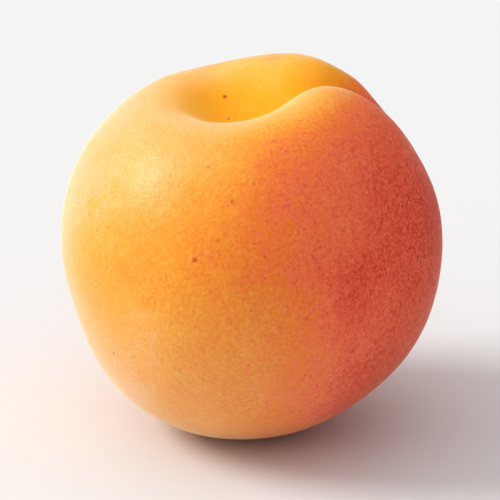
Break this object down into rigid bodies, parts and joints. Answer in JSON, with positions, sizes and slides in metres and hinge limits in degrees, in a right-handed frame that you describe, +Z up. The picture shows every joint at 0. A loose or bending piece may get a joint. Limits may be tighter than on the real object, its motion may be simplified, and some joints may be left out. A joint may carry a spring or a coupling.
{
  "type": "apricot",
  "caption": "Ripe whole apricot, upright on a small flat spot, with a stem cavity on top and a suture down one side.",
  "frame": {"origin": "middle of the small flat spot underneath that the fruit rests on", "axes": "+Z up through the top, +X towards the suture, so XZ is the plane that parts the two cheeks"},
  "size_m": [0.0492, 0.0508, 0.0476],
  "materials": {
    "skin": "fine short down over a satin skin, orange with a yellow shaded side and a red blush on the sunny cheek"
  },
  "bodies": {
    "root": {"apricot": "skin"}
  },
  "joints": []
}
